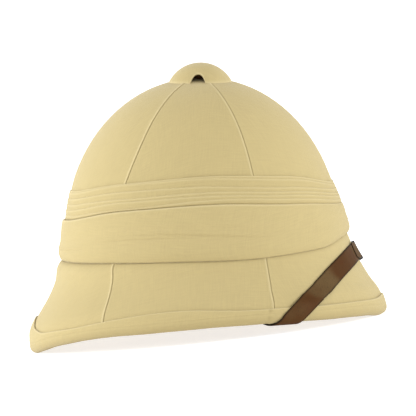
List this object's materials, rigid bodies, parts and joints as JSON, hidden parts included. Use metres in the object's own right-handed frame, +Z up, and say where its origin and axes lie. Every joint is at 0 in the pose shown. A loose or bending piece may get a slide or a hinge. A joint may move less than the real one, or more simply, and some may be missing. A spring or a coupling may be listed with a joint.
{
  "type": "pith helmet",
  "caption": "Khaki cloth-covered pith helmet with a flared bound brim, pleated puggaree, vented cap and a brown leather chin strap worn over the front of the brim.",
  "frame": {"origin": "middle of the hat's bounding box in plan, on the surface that the rim rests on", "axes": "+Z up, -Y towards the front of the hat, -X towards the wearer's right"},
  "size_m": [0.273, 0.3312, 0.2478],
  "materials": {
    "pith": "bare light pith",
    "khaki_cloth": "fine plain-woven khaki cotton",
    "brown_leather": "smooth brown leather with dark dyed edges",
    "brass": "plain brass"
  },
  "bodies": {
    "root": {"shell": "pith", "cover_panel_1": "khaki_cloth", "cover_panel_2": "khaki_cloth", "cover_panel_3": "khaki_cloth", "cover_panel_4": "khaki_cloth", "cover_panel_5": "khaki_cloth", "cover_panel_6": "khaki_cloth", "brim_binding": "khaki_cloth", "puggaree_pleats": "khaki_cloth", "puggaree_band": "khaki_cloth", "vent_cap": "khaki_cloth", "vent_post": "brass", "chin_strap_right": "brown_leather", "chin_strap_left": "brown_leather", "strap_keeper": "brown_leather", "strap_rivet_right": "brass", "strap_rivet_left": "brass"}
  },
  "joints": []
}
